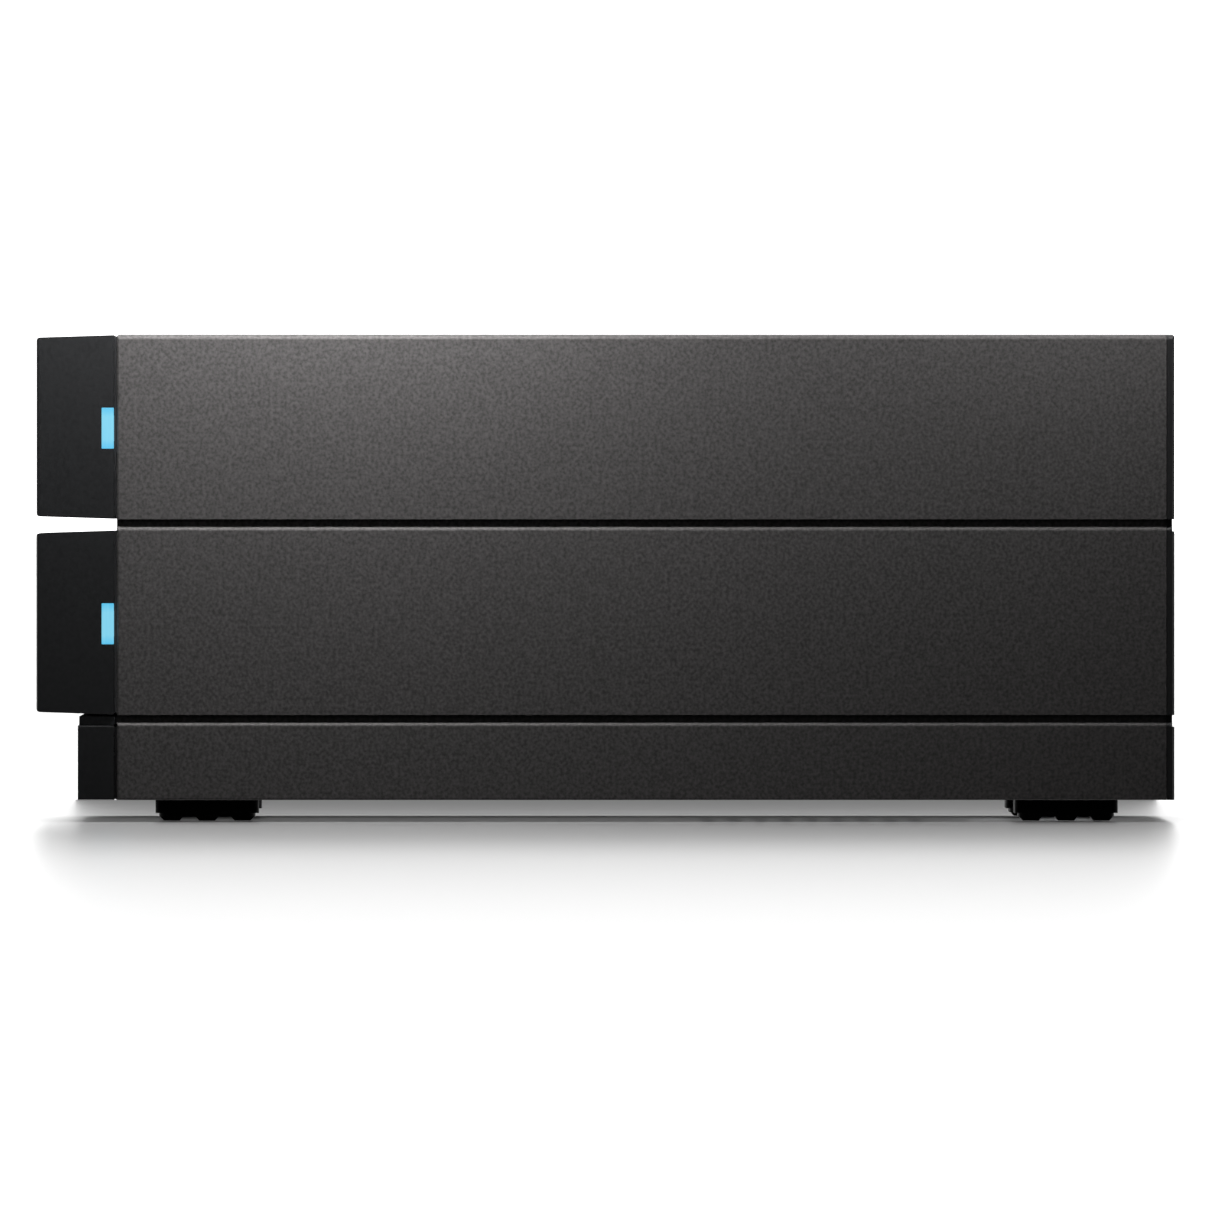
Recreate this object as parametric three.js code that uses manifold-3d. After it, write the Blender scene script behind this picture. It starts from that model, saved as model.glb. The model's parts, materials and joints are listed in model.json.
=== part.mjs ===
// A desktop network storage unit for two 3.5-inch hard disks, built as a three.js scene graph.
// Millimetres, +Z up, the front faces -Y. The origin is the centre of the unit's footprint on the desk.
// Each named mesh is one separate physical piece; pieces that touch keep a small gap.

import * as THREE from "three";
import { mergeVertices } from "three/addons/utils/BufferGeometryUtils.js";
import Module from "manifold-3d";

const wasm = await Module();
wasm.setup();

// ---- Driving dimensions ----

const WIDTH = 118;
const LENGTH = 217;
const FOOT_HEIGHT = 4;
const BASE_HEIGHT = 14.2; // the plinth that holds the main board
const BAY_HEIGHT = 35.3; // the outer band of one drive bay
const GROOVE_HEIGHT = 2; // between two bands
const GROOVE_DEPTH = 1.2;
const GROOVE_LIP = { radius: 0.85, drop: 0.25 }; // the rounded lower lip cuts a little into the band below
const WALL = 2.5;
const BEZEL_DEPTH = 14.8;
const SHADOW_GAP = 0.55; // between a bezel and the shell's front edge
const FRONT_PANEL_SETBACK = 7.9; // how far the plinth's front panel stands behind the bezels
const RIM_DEPTH = 1.4; // the rear panel's black rim, which covers the shell's rear end

const DRIVE = { width: 101.6, length: 147, height: 26.1 };
const TRAY_WALL = 2;
const FAN_SIZE = 60;
const FAN_DEPTH = 15;
const GAP = 0.3; // clearance kept between neighbouring pieces

// ---- Derived planes ----

const HALF = WIDTH / 2;
const INNER = HALF - WALL;
const FRONT = -LENGTH / 2;
const REAR = LENGTH / 2;
const BEZEL_REAR = FRONT + BEZEL_DEPTH;
const SHELL_FRONT = BEZEL_REAR + SHADOW_GAP;
const RIM_FRONT = REAR - RIM_DEPTH;
const SHELL_REAR = RIM_FRONT - 0.1;
const PANEL_FRONT = FRONT + FRONT_PANEL_SETBACK;

const BASE_TOP = FOOT_HEIGHT + BASE_HEIGHT;
const LOWER_BAY = BASE_TOP + GROOVE_HEIGHT;
const UPPER_BAY = LOWER_BAY + BAY_HEIGHT + GROOVE_HEIGHT;
const TOP = UPPER_BAY + BAY_HEIGHT;
const GROOVES = [BASE_TOP, LOWER_BAY + BAY_HEIGHT].map((z) => [z - GROOVE_LIP.drop, z + GROOVE_HEIGHT]);
const INNER_TOP = TOP - WALL;

const PLATE = [FOOT_HEIGHT + 0.1, FOOT_HEIGHT + 1.5]; // base plate
const FLANGE = [PLATE[1] + GAP, PLATE[1] + 1.8]; // the shell's bottom flange rests on the base plate
const FLOOR_PLATE = [BASE_TOP + 0.1, LOWER_BAY - 0.2]; // black floor of the lower bay
const DIVIDER = [UPPER_BAY - 1.6, UPPER_BAY - 0.6];
const BOARD = [8.2, 9.8]; // main board
const BOARD_HALF = 47;
const PORT_FOOT = BOARD[1] + 0.1;
const PORT_REAR = REAR - GAP;

const GUIDE = { inner: 54, outer: INNER - GAP, front: SHELL_FRONT + 0.25 };
const GUIDE_REAR = 66.7;
const BACKPLANE = [67, 68.6];
const REAR_PANEL = [104.6, 106.1];
const FAN = [REAR_PANEL[0] - 0.2 - FAN_DEPTH, REAR_PANEL[0] - 0.2];
const FAN_Z = 56.5;
const FAN_BORE = 28.6;
const FAN_SCREW_OFFSET = 25;
const PANEL_SCREWS = { x: 52, z: [24, 85.5] };

// Places inside one bay are measured up from the bay's own bottom plane.
const BEZEL_Z = [0.1, BAY_HEIGHT - 0.15];
const BEZEL_DRAFT = 0.45; // the bezel is this much lower at its front, top and bottom
const BEZEL_SKIN = 2.2;
const TRAY_FRONT = [BEZEL_REAR + 0.05, BEZEL_REAR + 2.3];
const FRONT_PLATE_REAR = SHELL_FRONT - 0.05; // dark plates fill the slit in front of the shell
const FRONT_PLATE_HALF = HALF - 0.6;
const TRAY_REAR = 60;
const TRAY_FLOOR = [1.6, 3.1];
const TRAY_HALF = 53.1;
const RUNNER = { z: [13.5, 16.5], x: 55, front: -88 };
const DRIVE_FRONT = -87.6;
const DRIVE_REAR = DRIVE_FRONT + DRIVE.length;
const DRIVE_Z = [3.5, 3.5 + DRIVE.height];
const DRIVE_COVER_Z = [DRIVE_Z[1] - 1.1, DRIVE_Z[1]];
const DISC_CENTRE_Y = DRIVE_FRONT + DRIVE.width / 2;
const SIDE_HOLE_Z = DRIVE_Z[0] + 6.35;
const SIDE_HOLES_Y = [DRIVE_REAR - 28.5 - 101.6, DRIVE_REAR - 28.5];
const CONNECTOR_X = [-6, 36];
const CONNECTOR_Z = [DRIVE_Z[0] + 1.2, DRIVE_Z[0] + 6.4];
const LOCK = { x: -46.5, z: 17.4, face: 5, shaft: 2.5, cam: [-90.7, -88.8], camReach: 9.4 };
const LIGHT = { z: 17.4, height: 7.8, depth: 2.35 };

const FOOT = { x: 45, y: [-76, 88], length: 19.7, width: 16, tread: 18.3 };
const BUTTON = { x: 38, z: 11.1, radius: 4.1, travel: 1 };
const FRONT_PORT = { x: 16, width: 13.2, height: 5.8 };
const REAR_PORTS = { dc: -36, ethernet: [-17, 2], usb: 22, lock: 41 };
const ETHERNET = { width: 16, height: 13.4, length: 21.3 };

const ROUND = 32; // sides of a visible circle
const SMALL_ROUND = 16; // sides of a screw, stud or pin

// ---- Materials ----

const material = (color, roughness, metalness = 0) =>
  new THREE.MeshStandardMaterial({ color, roughness, metalness });

const paint = {
  anodised: material(0x4a4847, 0.5, 0.6),
  blackPlastic: material(0x1c1d1e, 0.45),
  guidePlastic: material(0x26272a, 0.6),
  rubber: material(0x0b0b0b, 0.9),
  blackSteel: material(0x232324, 0.5, 0.6),
  zincSteel: material(0xa9adb0, 0.35, 0.9),
  screwSteel: material(0x8f9396, 0.3, 0.9),
  casting: material(0x9a9da0, 0.5, 0.8),
  cover: material(0xc3c5c7, 0.35, 0.9),
  board: material(0x0f3d2a, 0.5),
  chip: material(0x17181a, 0.6),
  connector: material(0x101112, 0.5),
  portMetal: material(0xb5b8ba, 0.3, 0.9),
  fanPlastic: material(0x141416, 0.5),
  heatSink: material(0x2f3133, 0.4, 0.8),
  light: new THREE.MeshStandardMaterial({ color: 0x8cdcf8, emissive: 0x3fb8f0, roughness: 0.3 }),
  ring: material(0xdfe7ea, 0.3),
};

// ---- Geometry helpers ----

// A closed three.js geometry as a manifold-3d solid.
function solidOf(geometry) {
  const bare = geometry.clone();
  bare.deleteAttribute("normal");
  bare.deleteAttribute("uv");
  const merged = mergeVertices(bare, 1e-4);
  return new wasm.Manifold(
    new wasm.Mesh({
      numProp: 3,
      vertProperties: new Float32Array(merged.getAttribute("position").array),
      triVerts: new Uint32Array(merged.index.array),
    }),
  );
}

// A manifold-3d solid as a flat-shaded three.js geometry.
function geometryOf(solid) {
  const mesh = solid.getMesh();
  const positions = new Float32Array(mesh.numVert * 3);
  for (let i = 0; i < mesh.numVert; i++) {
    const start = i * mesh.numProp;
    positions.set(mesh.vertProperties.subarray(start, start + 3), i * 3);
  }
  const indexed = new THREE.BufferGeometry();
  indexed.setAttribute("position", new THREE.BufferAttribute(positions, 3));
  indexed.setIndex(new THREE.BufferAttribute(mesh.triVerts, 1));
  const geometry = indexed.toNonIndexed();
  geometry.computeVertexNormals();
  return geometry;
}

const join = (first, ...others) => others.reduce((sum, other) => sum.add(other), first);
const cut = (first, ...tools) => tools.reduce((rest, tool) => rest.subtract(tool), first);

// A box from its ranges along X, Y and Z.
function block([x0, x1], [y0, y1], [z0, z1]) {
  const geometry = new THREE.BoxGeometry(x1 - x0, y1 - y0, z1 - z0);
  geometry.translate((x0 + x1) / 2, (y0 + y1) / 2, (z0 + z1) / 2);
  return solidOf(geometry);
}

// A cylinder along an axis, over a range of that axis. The centre is given along the other two, in order.
function rod(axis, radius, [from, to], [u, v], sides = SMALL_ROUND, endRadius = radius) {
  const geometry = new THREE.CylinderGeometry(endRadius, radius, to - from, sides);
  const middle = (from + to) / 2;
  if (axis === "x") geometry.rotateZ(-Math.PI / 2).translate(middle, u, v);
  if (axis === "y") geometry.translate(u, middle, v);
  if (axis === "z") geometry.rotateX(Math.PI / 2).translate(u, v, middle);
  return solidOf(geometry);
}

// An outline extruded along an axis. The outline lies in the other two axes, in order.
function prism(axis, outline, [from, to], curveSegments = 4) {
  const shape = Array.isArray(outline)
    ? new THREE.Shape(outline.map(([u, v]) => new THREE.Vector2(u, v)))
    : outline;
  const options = { depth: to - from, bevelEnabled: false, curveSegments };
  const geometry = new THREE.ExtrudeGeometry(shape, options);
  const [x, y, z] = [new THREE.Vector3(1, 0, 0), new THREE.Vector3(0, 1, 0), new THREE.Vector3(0, 0, 1)];
  const turn = new THREE.Matrix4();
  if (axis === "x") turn.makeBasis(y, z, x).setPosition(from, 0, 0);
  if (axis === "y") turn.makeBasis(x, z, y.negate()).setPosition(0, to, 0);
  if (axis === "z") turn.setPosition(0, 0, from);
  geometry.applyMatrix4(turn);
  return solidOf(geometry);
}

function roundedRectangle([u0, u1], [v0, v1], radius) {
  const shape = new THREE.Shape();
  shape.moveTo(u0 + radius, v0);
  shape.lineTo(u1 - radius, v0);
  shape.absarc(u1 - radius, v0 + radius, radius, -Math.PI / 2, 0);
  shape.lineTo(u1, v1 - radius);
  shape.absarc(u1 - radius, v1 - radius, radius, 0, Math.PI / 2);
  shape.lineTo(u0 + radius, v1);
  shape.absarc(u0 + radius, v1 - radius, radius, Math.PI / 2, Math.PI);
  shape.lineTo(u0, v0 + radius);
  shape.absarc(u0 + radius, v0 + radius, radius, Math.PI, Math.PI * 1.5);
  return shape;
}

const around = (middle, size) => [middle - size / 2, middle + size / 2];
const mirrorX = (points) => points.map(([x, z]) => [-x, z]).reverse();

// Adds one named piece to a group.
function piece(parent, name, geometry, finish) {
  const mesh = new THREE.Mesh(geometry, finish);
  mesh.name = name;
  parent.add(mesh);
  return mesh;
}

const addSolid = (parent, name, solid, finish) => piece(parent, name, geometryOf(solid), finish);

// ---- Enclosure ----

// The side's outline from the bottom edge to the middle of the top, as [x, z] for the right side.
function sideOutline() {
  const cornerRadius = 1.1;
  const grooveRoot = HALF - GROOVE_DEPTH;
  const edge = 0.3;
  const points = [
    [HALF - edge, FOOT_HEIGHT],
    [HALF, FOOT_HEIGHT + edge],
  ];
  for (const [bottom, top] of GROOVES) {
    const lipSteps = 6;
    const { radius } = GROOVE_LIP;
    for (let i = 0; i <= lipSteps; i++) {
      const angle = (i / lipSteps) * (Math.PI / 2);
      points.push([HALF - radius * (1 - Math.cos(angle)), bottom + radius * Math.sin(angle)]);
    }
    points.push([grooveRoot, bottom + radius], [grooveRoot, top], [HALF, top]);
  }
  const cornerSteps = 4;
  for (let i = 0; i <= cornerSteps; i++) {
    const angle = (i / cornerSteps) * (Math.PI / 2);
    const x = HALF - cornerRadius + cornerRadius * Math.cos(angle);
    points.push([x, TOP - cornerRadius + cornerRadius * Math.sin(angle)]);
  }
  return points;
}

// The inside, from the inner top corner down to the bottom edge, with the two rails that carry the floors.
function insideOutline() {
  const floorRail = [FLOOR_PLATE[0] - GAP - 1.4, FLOOR_PLATE[0] - GAP];
  const railReach = 2;
  const flangeReach = 6;
  return [
    [INNER, INNER_TOP],
    [INNER, floorRail[1]],
    [INNER - railReach, floorRail[1]],
    [INNER - railReach, floorRail[0]],
    [INNER, floorRail[0]],
    [INNER, FLANGE[1]],
    [INNER - flangeReach, FLANGE[1]],
    [INNER - flangeReach, FLANGE[0]],
    [INNER, FLANGE[0]],
    [INNER, FOOT_HEIGHT],
  ];
}

// Wedges that bevel the outer edges at one end of the enclosure.
function endBevels(end, size) {
  const inward = Math.sign(end) * -1;
  const past = 0.1;
  const side = [
    [HALF + past, end - inward * past],
    [HALF + past, end + inward * (size + past)],
    [HALF - size - past, end - inward * past],
  ];
  const wound = inward > 0 ? side : [...side].reverse();
  const top = wound.map(([x, y]) => [y, x - HALF + TOP]).reverse();
  return [
    prism("z", wound, [0, TOP + 1]),
    prism("z", mirrorX(wound), [0, TOP + 1]),
    prism("x", top, [-HALF - 1, HALF + 1]),
  ];
}

function enclosureShell() {
  const right = sideOutline();
  const inside = insideOutline();
  const outline = [...right, ...mirrorX(right), ...mirrorX(inside), ...inside];
  let shell = prism("y", outline, [SHELL_FRONT, SHELL_REAR]);
  // The rear end is opened out for the rear panel.
  shell = cut(shell, block([-INNER, INNER], [REAR_PANEL[0] - GAP, REAR + 1], [PLATE[1], INNER_TOP]));
  const lugLength = 12;
  const lugHalf = 3.5;
  for (const side of [-1, 1])
    for (const z of PANEL_SCREWS.z) {
      const x = side * PANEL_SCREWS.x;
      const range = [REAR_PANEL[0] - GAP - lugLength, REAR_PANEL[0] - GAP];
      const reach = side > 0 ? [x - lugHalf, INNER + 0.5] : [-INNER - 0.5, x + lugHalf];
      shell = join(shell, block(reach, range, [z - lugHalf, z + lugHalf]));
      shell = cut(shell, rod("y", 1.7, [range[0] + 2, range[1] + 1], [x, z], 12));
    }
  return cut(shell, ...endBevels(SHELL_FRONT, 0.35));
}

function frontPortOpening([front, rear]) {
  const heights = [PORT_FOOT - GAP, PORT_FOOT + FRONT_PORT.height + GAP];
  return block(around(FRONT_PORT.x, FRONT_PORT.width + 0.6), [front - 1, rear + 1], heights);
}

function basePlate() {
  const plateHalf = INNER - GAP;
  let plate = block([-plateHalf, plateHalf], [FRONT_PLATE_REAR - 0.2, RIM_FRONT - GAP], PLATE);
  // Its front edge is bent up behind the plinth's front panel, with holes for the port and the button.
  const upstand = [BEZEL_REAR + 0.05, FRONT_PLATE_REAR];
  plate = join(plate, block([-FRONT_PLATE_HALF, FRONT_PLATE_HALF], upstand, [PLATE[0] + 0.1, BASE_TOP - 0.2]));
  plate = cut(plate, frontPortOpening(upstand), rod("y", 1.8, [upstand[0] - 1, -92], [BUTTON.x, BUTTON.z], 12));
  for (const x of [-40, 0, 40])
    for (const y of [-80, -5, 70]) {
      const standoff = rod("z", 2.5, [PLATE[0] + 0.2, BOARD[0] - 0.1], [x, y], 12);
      plate = join(plate, standoff);
    }
  for (const side of [-1, 1])
    for (const y of FOOT.y) plate = cut(plate, rod("z", 3.3, [0, 7], [side * FOOT.x, y]));
  // Air enters through rows of slots under the board.
  for (let row = 0; row < 9; row++)
    for (const x of [-20, 20]) {
      const slot = roundedRectangle(around(x, 24), around(20 + row * 5, 2.2), 1.05);
      plate = cut(plate, prism("z", slot, [3, 7], 1));
    }
  return plate;
}

// One rubber foot: a pad with a three-ribbed tread, held by a stud pressed through the base plate.
function footGeometry() {
  const plan = roundedRectangle(around(0, FOOT.width), around(0, FOOT.length), 1.2);
  const treadPlan = roundedRectangle(around(0, FOOT.width - 1.4), around(0, FOOT.tread), 1.5);
  const stepZ = 1.45;
  let foot = join(prism("z", plan, [stepZ, FOOT_HEIGHT]), prism("z", treadPlan, [0.7, stepZ + 0.1]));
  const ribHalf = 1.5;
  for (const y of [-1, 0, 1].map((place) => place * (FOOT.tread / 2 - 2.4))) {
    const rib = [
      [y - ribHalf - 0.7, 0.8],
      [y - ribHalf, 0],
      [y + ribHalf, 0],
      [y + ribHalf + 0.7, 0.8],
    ];
    foot = join(foot, prism("x", rib, around(0, FOOT.width - 2.4)));
  }
  const stud = rod("z", 3, [FOOT_HEIGHT - 0.1, PLATE[1] + 0.7], [0, 0]);
  const head = rod("z", 4.1, [PLATE[1] + 0.25, PLATE[1] + 1.9], [0, 0], SMALL_ROUND, 3);
  return geometryOf(join(foot, stud, head));
}

function feet(root) {
  const geometry = footGeometry();
  for (const [sideName, side] of [["left", -1], ["right", 1]])
    for (const [endName, y] of [["front", FOOT.y[0]], ["rear", FOOT.y[1]]])
      piece(root, `foot_${endName}_${sideName}`, geometry, paint.rubber).position.set(side * FOOT.x, y, 0);
}

// The black floor of the lower bay. Its front edge shows as the sill under the lower bezel.
function bayFloor() {
  const [inner, lip] = [INNER - GAP, HALF - GROOVE_DEPTH + 0.2];
  const lipRear = SHELL_FRONT - GAP;
  const outline = [
    [lip, PANEL_FRONT + 0.25],
    [lip, lipRear],
    [inner, lipRear],
    [inner, 62],
  ];
  let floor = prism("z", [...outline, ...mirrorX(outline)], FLOOR_PLATE);
  for (const x of [-27, 27])
    for (const y of [-50, -10, 30]) {
      const window = roundedRectangle(around(x, 36), around(y, 22), 3);
      floor = cut(floor, prism("z", window, [FLOOR_PLATE[0] - 1, FLOOR_PLATE[1] + 1], 1));
    }
  return floor;
}

function bayDivider() {
  const half = GUIDE.inner + 1;
  let plate = block([-half, half], [GUIDE.front + 1.5, 64], DIVIDER);
  for (let row = 0; row < 6; row++)
    for (const x of [-26, 26]) {
      const slot = roundedRectangle(around(x, 34), around(-62 + row * 20, 7), 3);
      plate = cut(plate, prism("z", slot, [DIVIDER[0] - 1, DIVIDER[1] + 1], 1));
    }
  return plate;
}

// A side guide with a channel for each tray's runner. The left one has a notch for each lock's cam.
function sideGuide(side) {
  let guide = block([GUIDE.inner, GUIDE.outer], [GUIDE.front, GUIDE_REAR], [FLOOR_PLATE[1] + GAP, INNER_TOP - GAP]);
  const channelDepth = 1.4;
  const reach = [GUIDE.inner - 1, GUIDE.inner + channelDepth];
  for (const bay of [LOWER_BAY, UPPER_BAY]) {
    const channel = [bay + RUNNER.z[0] - 0.4, bay + RUNNER.z[1] + 0.4];
    guide = cut(guide, block(reach, [GUIDE.front - 1, TRAY_REAR + 1], channel));
    if (side < 0) {
      const notch = [LOCK.cam[0] - 0.4, LOCK.cam[1] + 0.4];
      guide = cut(guide, block([50, HALF], notch, [bay + 14, bay + 26.6]));
    }
  }
  const dividerSlot = [DIVIDER[0] - 0.25, DIVIDER[1] + 0.25];
  guide = cut(guide, block([GUIDE.inner - 1, GUIDE.inner + 1.3], [GUIDE.front - 1, 65], dividerSlot));
  return side < 0 ? guide.mirror([1, 0, 0]) : guide;
}

// ---- Front of the plinth ----

function frontPanel() {
  const range = [PANEL_FRONT, BEZEL_REAR];
  const outline = roundedRectangle([-HALF, HALF], [FOOT_HEIGHT, BASE_TOP], 0.35);
  const skin = 1.8;
  let panel = prism("y", outline, range, 1);
  const hollow = [FOOT_HEIGHT + skin, BASE_TOP - skin];
  panel = cut(panel, block([-HALF + skin, HALF - skin], [range[0] + skin, range[1] + 1], hollow));
  const buttonHole = rod("y", BUTTON.radius + 1.6, [range[0] - 1, range[1]], [BUTTON.x, BUTTON.z], ROUND);
  return cut(panel, buttonHole, frontPortOpening(range));
}

function buttonRing() {
  const centre = [BUTTON.x, BUTTON.z];
  const outer = rod("y", BUTTON.radius + 1.3, [PANEL_FRONT + 0.05, PANEL_FRONT + 3.4], centre, ROUND);
  return cut(outer, rod("y", BUTTON.radius + 0.35, [PANEL_FRONT - 1, PANEL_FRONT + 4], centre, ROUND));
}

function powerButton() {
  const centre = [BUTTON.x, BUTTON.z];
  const cap = rod("y", BUTTON.radius, [PANEL_FRONT + 0.1, PANEL_FRONT + 4.4], centre, ROUND);
  const dish = rod("y", BUTTON.radius - 0.9, [PANEL_FRONT - 1, PANEL_FRONT + 0.5], centre, ROUND);
  return join(cut(cap, dish), rod("y", 1.2, [PANEL_FRONT + 4.3, -93.4], centre, 12));
}

function powerSwitch() {
  const body = block(around(BUTTON.x, 6.2), [-92.1, -88.4], [PORT_FOOT, PORT_FOOT + 4]);
  return join(body, block(around(BUTTON.x, 7.4), [-91, -90], [PORT_FOOT, PORT_FOOT + 1.5]));
}

// A USB type A socket that opens towards -Y when built, with its tongue inside.
function usbSocket(width, height, length) {
  const shell = 0.4;
  const outer = block([-width / 2, width / 2], [0, length], [0, height]);
  const mouth = block([-width / 2 + shell, width / 2 - shell], [-1, length - 3], [shell, height - shell]);
  const tongue = block([-width / 2 + 1.3, width / 2 - 1.3], [0.8, length - 2], [height / 2 + 0.1, height - 1.1]);
  return join(cut(outer, mouth), tongue);
}

// ---- Rear panel and ports ----

// The plate is recessed: its border is bent back and then out, and ends in a rim with the shell's own outline.
function rearPanel() {
  const half = INNER - GAP;
  const heights = [PLATE[1] + GAP, INNER_TOP - GAP];
  const border = 0.8;
  const right = sideOutline();
  let rim = prism("y", [...right, ...mirrorX(right)], [RIM_FRONT, REAR]);
  const nicks = GROOVES.map((range) => block([-HALF - 1, HALF + 1], [REAR - 0.4, REAR + 1], range));
  rim = cut(rim, ...endBevels(REAR, 0.4), ...nicks);
  const inside = [heights[0] + border, heights[1] - border];
  const recess = block([border - half, half - border], [REAR_PANEL[1], REAR + 1], inside);
  let panel = join(block([-half, half], [REAR_PANEL[0], RIM_FRONT + 0.2], heights), rim);
  panel = cut(panel, recess);
  const through = [REAR_PANEL[0] - 1, REAR_PANEL[1] + 1];
  const hole = (x, z, radius, sides) => rod("y", radius, through, [x, z], sides);
  for (const side of [-1, 1]) {
    for (const z of PANEL_SCREWS.z) panel = cut(panel, hole(side * PANEL_SCREWS.x, z, 1.9, 12));
    for (const up of [-1, 1])
      panel = cut(panel, hole(side * FAN_SCREW_OFFSET, FAN_Z + up * FAN_SCREW_OFFSET, 2.2, 12));
  }
  // Exhaust slots in rows across the fan, broken by two upright ribs.
  const [slotHeight, pitch, ribHalf, ribX] = [2.8, 4.6, 0.9, 9.5];
  for (let row = -5; row <= 5; row++) {
    const z = FAN_Z + row * pitch;
    const reach = Math.sqrt((FAN_BORE - 0.6) ** 2 - (row * pitch) ** 2);
    const spans = [[-reach, -ribX - ribHalf], [-ribX + ribHalf, ribX - ribHalf], [ribX + ribHalf, reach]];
    for (const span of spans) {
      if (span[1] - span[0] < slotHeight) continue;
      panel = cut(panel, prism("y", roundedRectangle(span, around(z, slotHeight), 1.3), through, 1));
    }
  }
  const opening = (x, width, height) =>
    block(around(x, width + 0.6), through, [PORT_FOOT - GAP, PORT_FOOT + height + GAP]);
  for (const x of REAR_PORTS.ethernet) panel = cut(panel, opening(x, ETHERNET.width, ETHERNET.height));
  panel = cut(panel, opening(REAR_PORTS.dc, 9, 11), opening(REAR_PORTS.usb, 13.2, 5.8));
  const lockSlot = roundedRectangle(around(REAR_PORTS.lock, 7), around(14.5, 3), 0.8);
  return cut(panel, prism("y", lockSlot, through, 2));
}

// A pan-head screw along -Y: its head's face is at y = 0 and its shank points to -Y.
function screwGeometry(headRadius, headHeight, shankRadius, shankLength) {
  const head = rod("y", headRadius, [-headHeight, 0], [0, 0], 12, headRadius * 0.82);
  const shank = rod("y", shankRadius, [-headHeight - shankLength, -headHeight + 0.1], [0, 0], 8);
  const arm = headRadius * 0.55;
  const recess = [block([-arm, arm], [-headHeight * 0.6, 1], around(0, 0.7))];
  recess.push(block(around(0, 0.7), [-headHeight * 0.6, 1], [-arm, arm]));
  return geometryOf(cut(join(head, shank), ...recess));
}

function rearScrews(root) {
  const geometry = screwGeometry(3, 1.8, 1.4, 9);
  const seat = REAR_PANEL[1] + 0.1;
  for (const [sideName, side] of [["left", -1], ["right", 1]])
    for (const [rowName, row] of [["bottom", 0], ["top", 1]]) {
      const panelScrew = piece(root, `panel_screw_${rowName}_${sideName}`, geometry, paint.screwSteel);
      panelScrew.position.set(side * PANEL_SCREWS.x, seat + 1.8, PANEL_SCREWS.z[row]);
      const fanScrew = piece(root, `fan_screw_${rowName}_${sideName}`, geometry, paint.screwSteel);
      const z = FAN_Z + (row ? 1 : -1) * FAN_SCREW_OFFSET;
      fanScrew.position.set(side * FAN_SCREW_OFFSET, seat + 1.8, z);
    }
}

function ethernetJack() {
  const { width, height, length } = ETHERNET;
  const outer = block(around(0, width), [PORT_REAR - length, PORT_REAR], [PORT_FOOT, PORT_FOOT + height]);
  const mouth = [
    block(around(0, 12), [PORT_REAR - 13, PORT_REAR + 1], [PORT_FOOT + 3.4, PORT_FOOT + 10.6]),
    block(around(0, 6), [PORT_REAR - 13, PORT_REAR + 1], [PORT_FOOT + 1.6, PORT_FOOT + 3.5]),
    block(around(0, 3.4), [PORT_REAR - 13, PORT_REAR + 1], [PORT_FOOT + 0.8, PORT_FOOT + 1.7]),
  ];
  return cut(outer, ...mouth);
}

function powerInlet() {
  const [width, height, length] = [9, 11, 14];
  const body = block(around(0, width), [PORT_REAR - length, PORT_REAR], [PORT_FOOT, PORT_FOOT + height]);
  const centre = [0, PORT_FOOT + 6.3];
  const well = rod("y", 3.2, [PORT_REAR - 10, PORT_REAR + 1], centre, 20);
  return join(cut(body, well), rod("y", 1, [PORT_REAR - 11, PORT_REAR - 1.2], centre, 10));
}

// ---- Boards ----

function mainBoard() {
  let board = block([-BOARD_HALF, BOARD_HALF], [-92.2, REAR_PANEL[0] - 0.6], BOARD);
  // The backplane's lower edge stands in a slotted connector that is soldered to the board.
  const socket = block([-37, 37], [BACKPLANE[0] - 1.9, BACKPLANE[1] + 1.9], [BOARD[1] - 0.1, BOARD[1] + 6]);
  const slit = block([-34.4, 34.4], [BACKPLANE[0] - GAP, BACKPLANE[1] + GAP], [BOARD[1] + 0.4, BOARD[1] + 7]);
  board = join(board, cut(socket, slit));
  for (const x of [-40, 0, 40])
    for (const y of [-80, -5, 70]) board = cut(board, rod("z", 1.4, [8, 10], [x, y], 12));
  return board;
}

const HEAT_SINK = { x: -8, y: -32, size: 36 };

function processor() {
  return block(around(HEAT_SINK.x, 21), around(HEAT_SINK.y, 21), [PORT_FOOT, PORT_FOOT + 1.4]);
}

function heatSink() {
  const { x, y, size } = HEAT_SINK;
  const bottom = PORT_FOOT + 1.6;
  const fins = 9;
  const pitch = (size - 1.2) / (fins - 1);
  let sink = block(around(x, size), around(y, size), [bottom, bottom + 1.6]);
  for (let i = 0; i < fins; i++) {
    const middle = x - size / 2 + 0.6 + i * pitch;
    sink = join(sink, block(around(middle, 1.2), around(y, size), [bottom + 1, bottom + 6]));
  }
  return sink;
}

function backplane() {
  let board = block([-49, 49], BACKPLANE, [FLOOR_PLATE[1] + 2.5, INNER_TOP - 3]);
  board = join(board, block([-34, 34], BACKPLANE, [BOARD[1] + 0.6, FLOOR_PLATE[1] + 3]));
  for (const bay of [LOWER_BAY, UPPER_BAY])
    for (const [x0, x1] of [[-43, -16], [-10, 12], [18, 43]]) {
      const window = roundedRectangle([x0, x1], [bay + 14, bay + 28], 2);
      board = cut(board, prism("y", window, [BACKPLANE[0] - 1, BACKPLANE[1] + 1], 1));
    }
  return board;
}

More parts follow.
